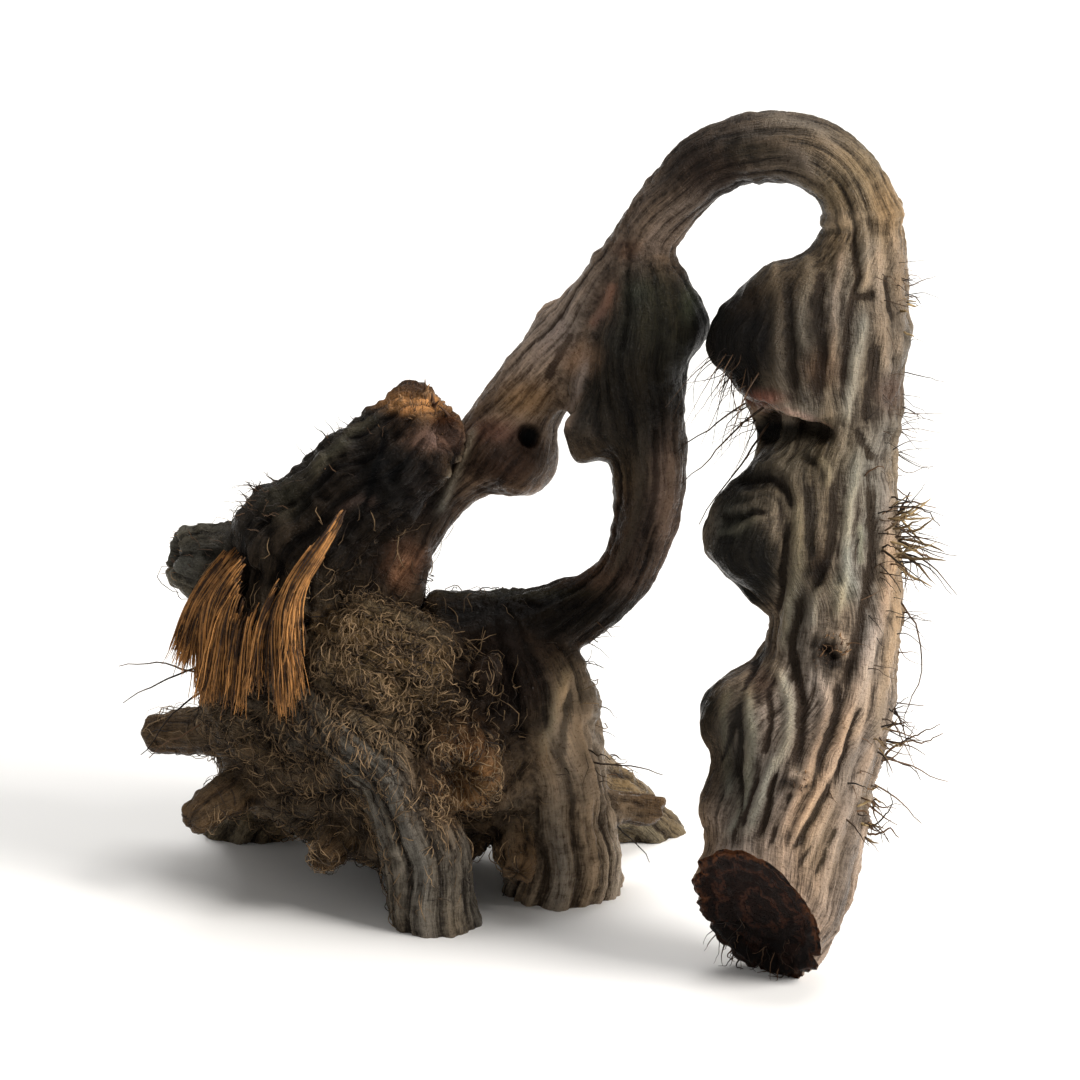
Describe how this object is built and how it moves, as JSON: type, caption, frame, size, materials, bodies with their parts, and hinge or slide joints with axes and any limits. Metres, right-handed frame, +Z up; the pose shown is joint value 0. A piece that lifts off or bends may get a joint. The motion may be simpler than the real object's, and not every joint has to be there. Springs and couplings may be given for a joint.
{
  "type": "nutgrass root",
  "caption": "Dried nutgrass rhizome: a ribbed, knobby cane that arches up from its crown and down to a chopped end, with a looped branch, a stump and leaf-sheath remains.",
  "frame": {"origin": "the middle of the flat under the crown's column, on the surface that the root stands on", "axes": "+Z up, +X along the arch from the crown to the chopped end, -Y to the side that the chopped end faces"},
  "size_m": [0.0592, 0.0406, 0.0587],
  "materials": {
    "bark": "dry, matt grey-brown bark with paler ribs and dark valleys",
    "sheath": "dry, matt orange-brown leaf fibre"
  },
  "bodies": {
    "root": {"rhizome": "bark", "leaf_sheath": "sheath"}
  },
  "joints": []
}
